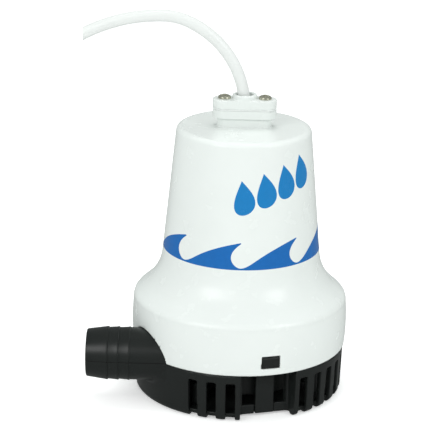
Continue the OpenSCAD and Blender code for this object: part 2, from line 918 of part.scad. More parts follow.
module vane() {
    arc_r = 20;
    tip_turn = 50;
    root = [hub_r - 2, 0];
    tip = (impeller_r - 0.6) * [cos(tip_turn), sin(tip_turn)];
    chord = tip - root;
    chord_l = norm(chord);
    centre = (root + tip) / 2 + sqrt(pow(arc_r, 2) - pow(chord_l / 2, 2)) * [-chord[1], chord[0]] / chord_l;
    from = atan2(root[1] - centre[1], root[0] - centre[0]);
    to = atan2(tip[1] - centre[1], tip[0] - centre[0]);
    translate([centre[0], centre[1], impeller_low_z + 0.4])
        rotate([0, 0, from])
            rotate_extrude(angle = to - from)
                translate([arc_r - 0.9, 0]) square([1.8, impeller_disc_z - impeller_low_z]);
}

module impeller() {
    color([0.16, 0.2, 0.3])
        difference() {
            union() {
                translate([0, 0, impeller_disc_z])
                    cylinder(r = impeller_r, h = impeller_top_z - impeller_disc_z);
                translate([0, 0, impeller_low_z])
                    cylinder(r = hub_r, h = impeller_top_z - impeller_low_z + 0.6);
                for (k = [0 : vane_count - 1]) rotate([0, 0, 360 / vane_count * k]) vane();
            }
            translate([0, 0, impeller_low_z - 1]) cylinder(r = shaft_r, h = 30);
        }
}

module impeller_nut() {
    color(brass)
        translate([0, 0, 10])
            difference() {
                cylinder(r = 4.6, h = impeller_low_z - 10, $fn = 6);
                translate([0, 0, -1]) cylinder(r = shaft_r, h = 10);
            }
}

strainer_base();
volute_casing();
casing_screws();
volute_gasket();
front_latch();
rear_latch();
motor_housing();
gland_gasket();
gland_cap();
gland_screws();
cable_grommet();
cable_jacket();
positive_lead();
negative_lead();
copper_conductors();
motor_can();
field_magnets();
brush_plate();
carbon_brushes();
brush_springs();
terminals();
upper_bearing();
lower_bearing();
seal_plate();
seal_plate_ring();
shaft_seal();
seal_plate_screws();
motor_screws();
motor_shaft();
thrust_washers();
armature_core();
armature_windings();
commutator();
impeller();
impeller_nut();
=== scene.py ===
import json
import math

import bmesh
import bpy
import numpy as np
import openvdb
from mathutils import Matrix, Vector


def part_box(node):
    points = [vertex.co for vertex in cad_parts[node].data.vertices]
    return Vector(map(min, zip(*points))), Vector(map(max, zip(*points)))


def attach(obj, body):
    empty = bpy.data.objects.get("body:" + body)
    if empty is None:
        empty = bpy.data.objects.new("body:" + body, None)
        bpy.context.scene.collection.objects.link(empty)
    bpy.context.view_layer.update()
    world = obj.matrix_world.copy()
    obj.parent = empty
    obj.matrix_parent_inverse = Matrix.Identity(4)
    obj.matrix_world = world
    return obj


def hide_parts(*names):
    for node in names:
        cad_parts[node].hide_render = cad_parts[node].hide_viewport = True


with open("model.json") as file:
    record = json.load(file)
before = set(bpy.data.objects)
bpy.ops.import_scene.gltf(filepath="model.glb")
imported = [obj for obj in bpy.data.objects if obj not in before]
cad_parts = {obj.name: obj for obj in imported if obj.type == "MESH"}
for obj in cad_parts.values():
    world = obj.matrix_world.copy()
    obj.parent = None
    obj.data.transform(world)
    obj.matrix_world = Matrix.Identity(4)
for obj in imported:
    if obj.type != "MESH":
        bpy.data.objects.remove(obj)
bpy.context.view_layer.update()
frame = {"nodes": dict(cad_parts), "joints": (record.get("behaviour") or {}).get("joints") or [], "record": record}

# The looks of a submersible bilge pump. The shapes are worked out in millimetres, in the frame's own
# axes, as signed distances: negative inside the plastic, positive outside. Meshes are made from them
# in metres.
MM = 0.001


# ---- What the frame says ----

def node_box(name):
    low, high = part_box(name)
    return np.array(low) / MM, np.array(high) / MM


def by_name(rows, name):
    return next(row for row in rows if row["name"] == name)


nozzle_mount = by_name(frame["record"]["mounts"], "hose_nozzle")
latch_joint = by_name(frame["joints"], "front_latch_press")
base_low, base_high = node_box("strainer_base")
casing_low, casing_high = node_box("volute_casing")
housing_low, housing_high = node_box("motor_housing")
cap_low, cap_high = node_box("gland_cap")
gasket_low, gasket_high = node_box("gland_gasket")
cable_low, cable_high = node_box("cable_jacket")

latch_angle = math.degrees(math.atan2(latch_joint["pos_m"][1], latch_joint["pos_m"][0]))
pivot_at = math.hypot(latch_joint["pos_m"][0], latch_joint["pos_m"][1]) / MM
pivot_z = latch_joint["pos_m"][2] / MM
nozzle_y = nozzle_mount["pos_m"][1] / MM
nozzle_z = nozzle_mount["pos_m"][2] / MM
nozzle_tip = -casing_low[0]
ridge_r = nozzle_mount["dims"]["r_mm"]
base_r = base_high[0]
skirt_z = housing_low[2]
skirt_r = housing_high[0]
COLLAR_H, FLANGE_T, NECK_H = 2.5, 4.7, 4.8
gland_base_z = gasket_low[2]
gland_cap_z = gasket_high[2]
gland_top_z = cap_high[2] - COLLAR_H
gland_flange_z = gland_base_z - FLANGE_T
top_z = gland_flange_z - NECK_H
cable_r = (cable_high[1] - cable_low[1]) / 2
case_screw_angles = [latch_angle + 45 + 90 * k for k in range(4)]


# ---- Distances ----

def meet(a, b, r):
    """Where two shapes overlap, with the outer corner rounded to radius r."""
    inside = np.minimum(-r, np.maximum(a, b))
    return inside + np.hypot(np.maximum(r + a, 0), np.maximum(r + b, 0))


def join(a, b, r):
    """Two shapes together, with the inner corner filled to radius r."""
    outside = np.maximum(r, np.minimum(a, b))
    return outside - np.hypot(np.maximum(r - a, 0), np.maximum(r - b, 0))


def cut(a, b, r):
    """Shape a less shape b, with the new edge rounded to radius r."""
    return meet(a, -b, r)


def span(value, low, high):
    return np.abs(value - (low + high) / 2) - (high - low) / 2


def turned(x, y, angle):
    """The coordinates along and across a direction at this angle about the pump's axis."""
    c, s = math.cos(math.radians(angle)), math.sin(math.radians(angle))
    return x * c + y * s, y * c - x * s


def rod(x, y, at, angle, r):
    u, v = turned(x, y, angle)
    return np.hypot(u - at, v) - r


def arc(at, r, start, end, steps):
    angles = [math.radians(start + (end - start) * k / steps) for k in range(steps + 1)]
    return [(at[0] + r * math.cos(a), at[1] + r * math.sin(a)) for a in angles]


class Outline:
    """Signed distance to a closed outline in a plane, tabled on a fine grid and read between its points."""

    def __init__(self, points, step=0.15, margin=6.0):
        corners = np.array(points, float)
        self.low = corners.min(0) - margin
        self.step = step
        count = np.ceil((corners.max(0) + margin - self.low) / step).astype(int) + 1
        a, b = np.meshgrid(*[self.low[i] + step * np.arange(count[i]) for i in (0, 1)], indexing="ij")
        nearest = np.full(a.shape, 1e9)
        inside = np.zeros(a.shape, bool)
        for p, q in zip(corners, np.roll(corners, -1, 0)):
            along = q - p
            t = ((a - p[0]) * along[0] + (b - p[1]) * along[1]) / max(along @ along, 1e-12)
            t = np.clip(t, 0, 1)
            gap = (a - p[0] - t * along[0]) ** 2 + (b - p[1] - t * along[1]) ** 2
            nearest = np.minimum(nearest, gap)
            if p[1] != q[1]:
                crossing = p[0] + (b - p[1]) * along[0] / along[1]
                inside ^= ((p[1] > b) != (q[1] > b)) & (a < crossing)
        self.table = (np.sqrt(nearest) * np.where(inside, -1, 1)).astype(np.float32)

    def __call__(self, a, b):
        n, m = self.table.shape
        u = np.clip((a - self.low[0]) / self.step, 0, n - 1.001)
        v = np.clip((b - self.low[1]) / self.step, 0, m - 1.001)
        u, v = np.broadcast_arrays(u, v)
        i, j = u.astype(np.int32), v.astype(np.int32)
        u, v = u - i, v - j
        t = self.table
        low = t[i, j] * (1 - u) + t[i + 1, j] * u
        high = t[i, j + 1] * (1 - u) + t[i + 1, j + 1] * u
        return low * (1 - v) + high * v


# ---- Meshes ----

def slope(field, points, step):
    out = np.empty_like(points)
    for axis in range(3):
        shift = np.zeros(3)
        shift[axis] = step
        ahead, behind = points + shift, points - shift
        out[:, axis] = (field(*ahead.T) - field(*behind.T)) / (2 * step)
    return out


def new_object(name, mesh):
    piece = bpy.data.objects.new(name, mesh)
    bpy.context.scene.collection.objects.link(piece)
    return piece


BLOCK = 8
BLOCKS_AT_ONCE = 1500
# A block whose middle is further than this many half-blocks from the surface, plus a margin in
# millimetres, can't hold any of it. The share is a cube's half-diagonal, with a quarter to spare.
BLOCK_REACH, BLOCK_MARGIN = 1.75 * 1.25, 0.3


def sample(field, low, counts, voxel, pad):
    """The field on a grid. Blocks wholly inside or outside are filled in without being worked out."""
    blocks = np.ceil(np.array(counts) / BLOCK).astype(int)
    values = np.empty(blocks * BLOCK, np.float32)
    half = BLOCK * voxel / 2
    middle = [low[i] + half - voxel / 2 + BLOCK * voxel * np.arange(blocks[i]) for i in range(3)]
    rough = field(middle[0][:, None, None], middle[1][None, :, None], middle[2][None, None, :])
    fill = np.where(rough < 0, -pad, pad)
    tiles = values.reshape(blocks[0], BLOCK, blocks[1], BLOCK, blocks[2], BLOCK)
    tiles = tiles.transpose(0, 2, 4, 1, 3, 5)
    tiles[:] = fill[..., None, None, None]
    near = np.argwhere(np.abs(rough) < half * BLOCK_REACH + BLOCK_MARGIN)
    step = voxel * np.arange(BLOCK)
    for part in np.array_split(near, max(1, len(near) // BLOCKS_AT_ONCE)):
        corner = low + part * (BLOCK * voxel)
        x = corner[:, 0, None, None, None] + step[:, None, None]
        y = corner[:, 1, None, None, None] + step[None, :, None]
        z = corner[:, 2, None, None, None] + step[None, None, :]
        tiles[part[:, 0], part[:, 1], part[:, 2]] = field(x, y, z)
    return np.clip(values, -pad, pad)


FLATTEN = 0.08  # how far flat stretches are thinned out, from 0 to 1


def solid(name, field, low, high, voxel):
    """A smooth mesh on a field's zero surface, with its points and normals settled on that surface."""
    pad = 3 * voxel
    start = np.array(low) - pad
    counts = np.ceil((np.array(high) + pad - start) / voxel).astype(int) + 1
    values = sample(field, start, counts, voxel, pad)
    grid = openvdb.FloatGrid(pad)
    grid.copyFromArray(values)
    points, triangles, quads = grid.convertToPolygons(isovalue=0.0, adaptivity=FLATTEN)
    points = points.astype(np.float64) * voxel + start
    for _ in range(3):
        value = field(*points.T)
        g = slope(field, points, 0.05)
        step = value / np.maximum((g * g).sum(1), 0.25)
        points -= np.clip(step, -voxel / 2, voxel / 2)[:, None] * g
    normals = slope(field, points, 0.12)
    normals /= np.maximum(np.linalg.norm(normals, axis=1), 1e-9)[:, None]

    faces = [tuple(f) for f in quads.tolist()] + [tuple(f) for f in triangles.tolist()]
    mesh = bpy.data.meshes.new(name)
    mesh.from_pydata((points * MM).tolist(), [], faces)
    mesh.update()
    first = mesh.polygons[len(mesh.polygons) // 2]
    if Vector(normals[first.vertices[0]]).dot(first.normal) < 0:
        mesh.flip_normals()
    mesh.shade_smooth()
    mesh.normals_split_custom_set_from_vertices(normals.tolist())
    mesh.validate()
    return new_object(name, mesh)


def finish_piece(piece, body, slot, material, *nodes):
    piece.data.materials.append(material)
    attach(piece, body)
    if nodes:
        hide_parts(*nodes)
    return piece


# ---- Material nodes ----

class Recipe:
    """Builds one procedural material. Values and sockets mix freely in every call."""

    def __init__(self, name):
        self.material = bpy.data.materials.new(name)
        self.material.use_nodes = True
        self.tree = self.material.node_tree
        self.shader = self.tree.nodes["Principled BSDF"]

    def put(self, socket, value):
        if isinstance(value, bpy.types.NodeSocket):
            self.tree.links.new(value, socket)
        elif isinstance(value, tuple) and len(value) == 3 and socket.type == "RGBA":
            socket.default_value = (*value, 1)
        else:
            socket.default_value = value

    def add(self, kind, inputs=None, **settings):
        node = self.tree.nodes.new(kind)
        for key, value in settings.items():
            setattr(node, key, value)
        for key, value in (inputs or {}).items():
            self.put(node.inputs[key], value)
        return node

    def calc(self, operation, *values):
        node = self.add("ShaderNodeMath", operation=operation)
        for socket, value in zip(node.inputs, values):
            self.put(socket, value)
        return node.outputs[0]

    def place(self):
        return self.add("ShaderNodeTexCoord").outputs["Object"]

    def noise(self, scale, detail=2.0, rough=0.5, stretch=(1, 1, 1)):
        where = self.add("ShaderNodeMapping", {"Vector": self.place(), "Scale": stretch})
        inputs = {"Vector": where.outputs[0], "Scale": scale, "Detail": detail, "Roughness": rough}
        return self.add("ShaderNodeTexNoise", inputs).outputs["Fac"]

    def ramp(self, value, low, high, out_low, out_high):
        inputs = {0: value, 1: low, 2: high, 3: out_low, 4: out_high}
        return self.add("ShaderNodeMapRange", inputs, clamp=True).outputs[0]

    def mix(self, share, a, b):
        node = self.add("ShaderNodeMix", data_type="RGBA")
        self.put(node.inputs[0], share)
        self.put(node.inputs[6], a)
        self.put(node.inputs[7], b)
        return node.outputs[2]

    def bump(self, height, strength, distance):
        inputs = {"Height": height, "Strength": strength, "Distance": distance}
        return self.add("ShaderNodeBump", inputs).outputs[0]

    def set(self, **values):
        for key, value in values.items():
            self.put(self.shader.inputs[key.replace("_", " ")], value)
        return self.material


def shade(colour, factor):
    return tuple(min(c * factor, 1.0) for c in colour)


def moulded(name, colour, rough, grain, depth, specular=0.5, print_layer=None):
    """Moulded plastic: faint flow clouds in the colour, a fine grain, and a gloss that varies a little."""
    m = Recipe(name)
    clouds = m.noise(45, 3)
    tint = m.mix(clouds, shade(colour, 0.97), shade(colour, 1.03))
    gloss = m.ramp(m.noise(120, 4), 0.3, 0.7, rough * 0.88, rough * 1.14)
    if print_layer:
        tint, gloss = print_layer(m, tint, gloss)
    skin = m.bump(m.noise(grain, 2), 0.35, depth)
    return m.set(Base_Color=tint, Roughness=gloss, Specular_IOR_Level=specular, Normal=skin)


def seam_shade_line(m, tint, gloss):
    """Painted shade: a fine dark line in the colour along the nozzle's mid-plane, where the mould halves met, with
    a rougher gloss on it.
    """
    height = m.add("ShaderNodeSeparateXYZ", {0: m.place()}).outputs[2]
    off = m.calc("ABSOLUTE", m.calc("SUBTRACT", height, nozzle_z * MM))
    # painted shade: the colour goes almost to black in a thin band at the nozzle's mid-plane height
    line = m.ramp(off, 0.0001, 0.00028, 1, 0)
    return m.mix(line, tint, (0.002, 0.002, 0.002)), m.calc("MULTIPLY_ADD", line, 0.4, gloss)


def metal(name, colour, rough, brush=(1, 1, 1), scale=900, shine=1.0):
    """Worked metal: brushed or turned streaks in both gloss and height. A passivated skin shines less."""
    m = Recipe(name)
    streaks = m.noise(scale, 4, 0.6, brush)
    tint = m.mix(m.noise(150, 3), shade(colour, 0.9), shade(colour, 1.06))
    gloss = m.ramp(streaks, 0.25, 0.75, rough * 0.75, rough * 1.3)
    skin = m.bump(streaks, 0.3, 0.00004)
    return m.set(Base_Color=tint, Metallic=shine, Roughness=gloss, Normal=skin)


def rubber(name, colour, rough=0.75):
    m = Recipe(name)
    tint = m.mix(m.noise(300, 4), shade(colour, 0.85), shade(colour, 1.2))
    skin = m.bump(m.noise(2500, 3), 0.4, 0.00005)
    gloss = m.ramp(m.noise(200), 0.3, 0.7, rough - 0.1, rough + 0.1)
    return m.set(Base_Color=tint, Roughness=gloss, Normal=skin)


def grainy(name, colour, rough, scale, metallic=0.0):
    """Pressed or sintered stock: a speckled colour and a pitted skin."""
    m = Recipe(name)
    speckle = m.add("ShaderNodeTexVoronoi", {"Vector": m.place(), "Scale": scale}).outputs["Color"]
    level = m.ramp(m.add("ShaderNodeSeparateColor", {0: speckle}).outputs[0], 0, 1, 0, 1)
    tint = m.mix(level, shade(colour, 0.75), shade(colour, 1.25))
    skin = m.bump(m.noise(scale * 1.5, 4), 0.5, 0.00008)
    return m.set(Base_Color=tint, Metallic=metallic, Roughness=rough, Normal=skin)


# ---- The print on the housing ----

WAVE_BLUE = (0.007, 0.134, 0.445)
DROP_BLUE = (0.008, 0.200, 0.510)
CONE_FOOT_R, CONE_FOOT_Z, CONE_SLOPE = 42.6, 77.2, 0.0954
PRINT_DEPTH = 1.2

# The band of swells: angles in degrees, heights in millimetres
WAVE_LOW = skirt_z + 53.6
WAVE_COUNT, WAVE_HEIGHT, WAVE_ROOT = 8, 14.0, 0.55
WAVE_SCOOP, WAVE_LEAN = 24.0, 4.0
WAVE_CLIMB, WAVE_BULGE, WAVE_DROP = 2.3, 2.1, 38.0

# The row of drops: the row climbs by DROP_RISE, and each drop's foot follows it by DROP_TILT, for each
# degree. DROP_SLANT leans a drop over about its widest place.
DROP_START, DROP_PITCH, DROP_COUNT = -97.0, 17.6, 4
DROP_LOW, DROP_RISE, DROP_HEIGHT = 107.4, 0.205, 19.0
DROP_WIDTH, DROP_SLANT, DROP_TILT, DROP_WIDEST = 22.14, 3.96, 0.012, 0.35
DROP_ROUND, DROP_POINT = 0.5, 1.15


def wave_mask(m, angle, height):
    """1 inside a band of equal swells. Each climbs in an S to its tip, over a scooped-out face."""
    above = m.calc("SUBTRACT", height, WAVE_LOW)
    share = m.calc("MINIMUM", m.calc("DIVIDE", m.calc("MAXIMUM", above, 0.0), WAVE_HEIGHT), 1.0)
    left = m.calc("SUBTRACT", 1.0, share)
    upright = m.calc("MULTIPLY_ADD", left, WAVE_LEAN, angle)
    leaned = m.calc("MULTIPLY_ADD", m.calc("MULTIPLY", share, left), WAVE_SCOOP, upright)
    along = m.calc("FRACT", m.calc("DIVIDE", leaned, 360 / WAVE_COUNT))
    rest = m.calc("SUBTRACT", 1.0, along)
    bulge = m.calc("MULTIPLY_ADD", rest, WAVE_BULGE, 1.0)
    climb = m.calc("MULTIPLY", m.calc("POWER", along, WAVE_CLIMB), bulge)
    rise = m.calc("ADD", climb, m.calc("POWER", rest, WAVE_DROP))
    under = m.calc("LESS_THAN", above, m.calc("MULTIPLY_ADD", rise, WAVE_HEIGHT, WAVE_ROOT))
    return m.calc("MULTIPLY", under, m.calc("GREATER_THAN", above, 0.0))


def drop_mask(m, angle, height):
    """1 inside a rising row of slanted drops."""
    index = m.calc("FLOOR", m.calc("DIVIDE", m.calc("SUBTRACT", angle, DROP_START), DROP_PITCH))
    after_first = m.calc("GREATER_THAN", index, -0.5)
    in_row = m.calc("MULTIPLY", after_first, m.calc("LESS_THAN", index, DROP_COUNT - 0.5))
    centre = m.calc("MULTIPLY_ADD", m.calc("ADD", index, 0.5), DROP_PITCH, DROP_START)
    across = m.calc("SUBTRACT", angle, centre)
    foot = m.calc("MULTIPLY_ADD", m.calc("SUBTRACT", centre, DROP_START), DROP_RISE, DROP_LOW)
    up = m.calc("DIVIDE", m.calc("SUBTRACT", height, foot), DROP_HEIGHT)
    up = m.calc("MULTIPLY_ADD", across, -DROP_TILT, up)
    leaned = m.calc("MULTIPLY_ADD", m.calc("SUBTRACT", up, DROP_WIDEST), DROP_SLANT, across)
    inside = m.calc("MINIMUM", m.calc("MAXIMUM", up, 0.0), 1.0)
    point = m.calc("POWER", m.calc("SUBTRACT", 1.0, inside), DROP_POINT)
    width = m.calc("MULTIPLY", m.calc("POWER", inside, DROP_ROUND), point)
    width = m.calc("MULTIPLY", width, DROP_WIDTH)
    return m.calc("MULTIPLY", m.calc("LESS_THAN", m.calc("ABSOLUTE", leaned), width), in_row)


def housing_print(m, tint, gloss):
    """Prints the outer skin only: the cone's radius falls by CONE_SLOPE for each millimetre of height."""
    x, y, z = m.add("ShaderNodeSeparateXYZ", {0: m.place()}).outputs
    height = m.calc("DIVIDE", z, MM)
    angle = m.calc("DEGREES", m.calc("ARCTAN2", y, x))
    radius = m.calc("SQRT", m.calc("ADD", m.calc("POWER", x, 2.0), m.calc("POWER", y, 2.0)))
    level = m.calc("MULTIPLY_ADD", height, CONE_SLOPE, m.calc("DIVIDE", radius, MM))
    outside = m.calc("GREATER_THAN", level, CONE_FOOT_R + CONE_SLOPE * CONE_FOOT_Z - PRINT_DEPTH)
    wave_ink = m.mix(m.noise(400, 2), shade(WAVE_BLUE, 0.92), shade(WAVE_BLUE, 1.08))
    drop_ink = m.mix(m.noise(400, 2), shade(DROP_BLUE, 0.94), shade(DROP_BLUE, 1.06))
    wave = m.calc("MULTIPLY", wave_mask(m, angle, height), outside)
    drops = m.calc("MULTIPLY", drop_mask(m, angle, height), outside)
    return m.mix(drops, m.mix(wave, tint, wave_ink), drop_ink), gloss


# ---- Shapes ----

FLOOR_LOW, FLOOR_TOP = 1.2, 3.6
LEDGE_Z = 26.35
FOOT_ROUND, BASE_LEAN = 3.0, 0.8
BASE_IN_R = 54.3
REGISTER_R, REGISTER_IN_R, REGISTER_TOP = 54.9, 52.4, 30


def base_outline():
    low_r = base_r - BASE_LEAN
    return Outline(
        [(0, FLOOR_LOW), (REGISTER_IN_R - FLOOR_LOW, FLOOR_LOW), (REGISTER_IN_R, 0)]
        + arc((low_r - FOOT_ROUND, FOOT_ROUND), FOOT_ROUND, -90, 0, 12)
        + [(base_r, LEDGE_Z), (REGISTER_R, LEDGE_Z), (REGISTER_R, REGISTER_TOP)]
        + [(REGISTER_IN_R, REGISTER_TOP), (REGISTER_IN_R, 22), (BASE_IN_R, 20.5)]
        + [(BASE_IN_R, FLOOR_TOP), (0, FLOOR_TOP)]
    )


# Slots are counted in steps of the pitch, in degrees, from the middle of the nearer latch recess
SLOT_PITCH, SLOT_HALF_W = 10.5, 2.55
FRONT_SLOTS = [-4, -3, -2, 2, 3, 4, 5, 6, 7, 8]
REAR_SLOTS = [-8, -7, -6, -5, -4, -3, -2, 2, 3, 4, 5, 6]
SLOT_TOP, SLOT_IN_R = 21.4, 54.0
SLOT_FOOT_TOP, SLOT_FOOT_R = 1.4, 50.6
RECESS_HALF, RECESS_FACE = 15.5, 48.0
RECESS_WALL_TOP = 25.3
FINGER_GAP = 5.35
BAR_TOP = 6.4
SCREW_AT, SCREW_HOLE_R, SCREW_BORE_R, COUNTERSINK_R = 45.0, 1.8, 1.35, 3.2
MOUNT_AT, MOUNT_BOSS_R, MOUNT_HOLE_R = 44.0, 3.4, 2.2
ARCH_R = 14.2


def base_field():
    outline = base_outline()
    slope_c, slope_s = math.cos(math.radians(RECESS_HALF)), math.sin(math.radians(RECESS_HALF))

    def field(x, y, z):
        body = outline(np.hypot(x, y), z)
        for side in (0, 180):
            boss = meet(rod(x, y, MOUNT_AT, side, MOUNT_BOSS_R), span(z, 0, FLOOR_TOP), 0.3)
            body = np.minimum(body, boss)
        ways = [turned(x, y, latch_angle + side) for side in (0, 180)]
        for u, v in ways:
            off_side = np.abs(v) * slope_c - u * slope_s
            along = u * slope_c + np.abs(v) * slope_s
            wall = meet(span(off_side, -1.0, 2.2), span(along, 46.5, 55.3), 0.3)
            body = join(body, meet(wall, span(z, FLOOR_LOW, RECESS_WALL_TOP), 0.3), 0.6)
        for u, v in ways:
            off_side = np.abs(v) * slope_c - u * slope_s
            body = cut(body, meet(off_side, RECESS_FACE - u, 0.8), 0.4)
        for (u, v), slots in zip(ways, (FRONT_SLOTS, REAR_SLOTS)):
            k = np.round(np.degrees(np.arctan2(v, u)) / SLOT_PITCH)
            k = np.clip(k, min(slots), max(slots))
            k = np.where(np.isin(k, slots), k, np.where(k < 0, -2, 2))
            turn = np.radians(k * SLOT_PITCH)
            out = u * np.cos(turn) + v * np.sin(turn)
            side = np.abs(v * np.cos(turn) - u * np.sin(turn)) - SLOT_HALF_W
            slot = meet(meet(side, z - SLOT_TOP, 0.8), SLOT_IN_R - out, 0.4)
            foot = meet(meet(side, z - SLOT_FOOT_TOP, 0.3), SLOT_FOOT_R - out, 0.4)
            body = cut(body, np.minimum(slot, foot), 0.45)
        for u, v in ways:
            body = cut(body, meet(44.5 - u, np.abs(v) - FINGER_GAP, 0.4), 0.3)
        across = np.where(z > nozzle_z, np.abs(y - nozzle_y), np.hypot(y - nozzle_y, z - nozzle_z))
        body = cut(body, np.maximum(across - ARCH_R, x + 20), 0.25)
        for side in (0, 180):
            body = cut(body, rod(x, y, MOUNT_AT, side, MOUNT_HOLE_R), 0.3)
        for angle in case_screw_angles:
            hole = rod(x, y, SCREW_AT, angle, SCREW_HOLE_R)
            cone = (rod(x, y, SCREW_AT, angle, 0) - COUNTERSINK_R + (z - FLOOR_LOW)) * 0.707
            body = np.maximum(body, -np.minimum(hole, np.maximum(cone, z - 3)))
        return body

    return field


def bar_field(x, y, z):
    """The low bars across the recesses, with a gap for the finger and sockets for its trunnion."""
    bars = 1e9
    for side in (0, 180):
        u, v = turned(x, y, latch_angle + side)
        bar = meet(span(u, 45.6, RECESS_FACE + 0.12), span(np.abs(v), FINGER_GAP, 14.3), 0.35)
        bar = meet(bar, span(z, FLOOR_LOW, BAR_TOP), 0.35)
        socket = np.maximum(np.hypot(u - pivot_at, z - pivot_z) - 0.8, np.abs(v) - 7.1)
        bars = np.minimum(bars, np.maximum(bar, -socket))
    return bars


VOLUTE_STEP, VOLUTE_END_R, VOLUTE_WALL = 1.5, 38.6, 2.5
CHAMBER_LOW, CHAMBER_FLOOR, INLET_R = 9.4, 12, 14
PILLAR_R, PILLAR_TOP = 3.5, 16


def volute_plan(x, y, extra):
    """The chamber's plan: four arcs without a kink, and a wall where the last passes the first."""
    c = VOLUTE_STEP
    centres = [(-c, c), (c, c), (c, -c), (-c, -c)]
    discs = [
        np.hypot(x - cx, y - cy) - (VOLUTE_END_R - 2 * c * (3 - k) + extra)
        for k, (cx, cy) in enumerate(centres)
    ]
    last = np.maximum(discs[3], np.minimum(-c - x, discs[0]))
    first = np.minimum(discs[0], np.maximum(discs[3], -c - x))
    plan = np.where((x < c) & (y > c), discs[1], discs[2])
    plan = np.where((x < -c) & (y <= c), first, plan)
    return np.where((x >= -c) & (y < -c), last, plan)


NOZZLE_BORE, NOZZLE_ROOT, SLEEVE = 11.3, 14.1, 25.0
SEAM_HALF_ANGLE, SEAM_DEPTH = 0.9, 0.16
FLARE_LOW, FLARE_FADE, FLARE_TOP = 17.0, 8.0, 25.5


def nozzle_outline():
    """Closed outline of the nozzle's ridged end, as (radius, distance from the tip)."""
    points = [(NOZZLE_BORE - 0.02, SLEEVE), (NOZZLE_BORE - 0.02, 0.3), (NOZZLE_BORE + 0.06, 0.08)]
    points += [(NOZZLE_BORE + 0.25, 0)] + arc((11.9, 1.0), 1.0, -90, -8, 8)
    for end, after in ((11.8, 13.9), (17.6, 13.9), (23.5, NOZZLE_ROOT)):
        points += [(ridge_r - 0.15, end - 1.15), (ridge_r - 0.03, end - 0.85), (ridge_r, end - 0.5)]
        points += [(ridge_r, end - 0.14), (ridge_r - 0.1, end), (after, end + 0.1)]
    return points + [(NOZZLE_ROOT, SLEEVE)]


def nozzle_sleeve(name):
    """The ridged end as a turned ring, with a fine groove where its two mould halves met."""
    outline = nozzle_outline()
    count = 48
    turns = []
    for half in (0, 180):
        turns += [(half - SEAM_HALF_ANGLE, 0), (half, SEAM_DEPTH), (half + SEAM_HALF_ANGLE, 0)]
        turns += [(half + 180 * k / count, 0) for k in range(1, count)]
    mesh = bmesh.new()
    rings = []
    for r, s in outline:
        ring = []
        for angle, groove in turns:
            a = math.radians(angle)
            at = r - groove if r > NOZZLE_BORE + 0.5 and s < SLEEVE else r
            spot = (s - nozzle_tip, nozzle_y + at * math.cos(a), nozzle_z + at * math.sin(a))
            ring.append(mesh.verts.new([c * MM for c in spot]))
        rings.append(ring)
    for a, b in zip(rings, rings[1:] + rings[:1]):
        for j in range(len(turns)):
            mesh.faces.new((a[j], a[j - 1], b[j - 1], b[j]))
    bmesh.ops.recalc_face_normals(mesh, faces=mesh.faces)
    data = bpy.data.meshes.new(name)
    mesh.to_mesh(data)
    mesh.free()
    data.shade_smooth()
    data.set_sharp_from_angle(angle=math.radians(32))
    return new_object(name, data)


def casing_field():
    def field(x, y, z):
        off_nozzle = np.hypot(y - nozzle_y, z - nozzle_z)
        reach = np.maximum(x + 1.5, SLEEVE - 1 - nozzle_tip - x)
        barrel = np.maximum(off_nozzle - NOZZLE_ROOT + 0.02, reach)
        volute = meet(volute_plan(x, y, VOLUTE_WALL), span(z, CHAMBER_LOW, casing_high[2]), 0.5)
        body = join(barrel, volute, 1.0)
        # the root's fillet runs out on the face of the base wall, and fades away up to the ledge
        lean = BASE_LEAN * np.clip((LEDGE_Z - z) / (LEDGE_Z - FOOT_ROUND), 0, 1)
        wall = np.hypot(x, y) - base_r + lean + 0.03
        flare_r = 0.05 + 2.3 * np.clip((FLARE_LOW + FLARE_FADE - z) / FLARE_FADE, 0, 1)
        flare = join(off_nozzle - NOZZLE_ROOT, wall, flare_r)
        flare = np.maximum(np.maximum(flare, off_nozzle - NOZZLE_ROOT - 2.5), -0.7 - wall)
        flare = np.maximum(np.maximum(flare, z - FLARE_TOP), x + 30)
        body = np.minimum(body, flare)
        for angle in case_screw_angles:
            pillar = meet(rod(x, y, SCREW_AT, angle, PILLAR_R), span(z, FLOOR_TOP, PILLAR_TOP), 0.4)
            u, v = turned(x, y, angle)
            rib = np.maximum(np.abs(v) - PILLAR_R, span(u, 30, SCREW_AT))
            rib = np.maximum(rib, span(z, CHAMBER_LOW, PILLAR_TOP))
            body = join(body, np.minimum(pillar, rib), 0.5)
        chamber = meet(volute_plan(x, y, 0), CHAMBER_FLOOR - z, 1.0)
        body = cut(body, chamber, 0.4)
        body = cut(body, np.maximum(off_nozzle - NOZZLE_BORE, x + 1.5), 0.3)
        body = cut(body, np.maximum(np.hypot(x, y) - INLET_R, z - CHAMBER_FLOOR - 1), 0.5)
        for angle in case_screw_angles:
            bore = rod(x, y, SCREW_AT, angle, SCREW_BORE_R)
            body = np.maximum(body, -np.maximum(bore, z - PILLAR_TOP + 2))
        return body

    return field


FINGER_FACE, FINGER_T, FINGER_FOOT_T, FINGER_LOW, FINGER_TOP = 49.0, 1.8, 2.8, 1.6, 37.1
TAB_OUT, TAB_LOW, TAB_TOP, TAB_CHAMFER = 57.75, 30.6, 36.8, 0.85
FINGER_HALF_W, TAB_HALF_W = 5.1, 4.9
PIN_R, PIN_HALF_L = 0.75, 6.8
SOFTEN = 0.15


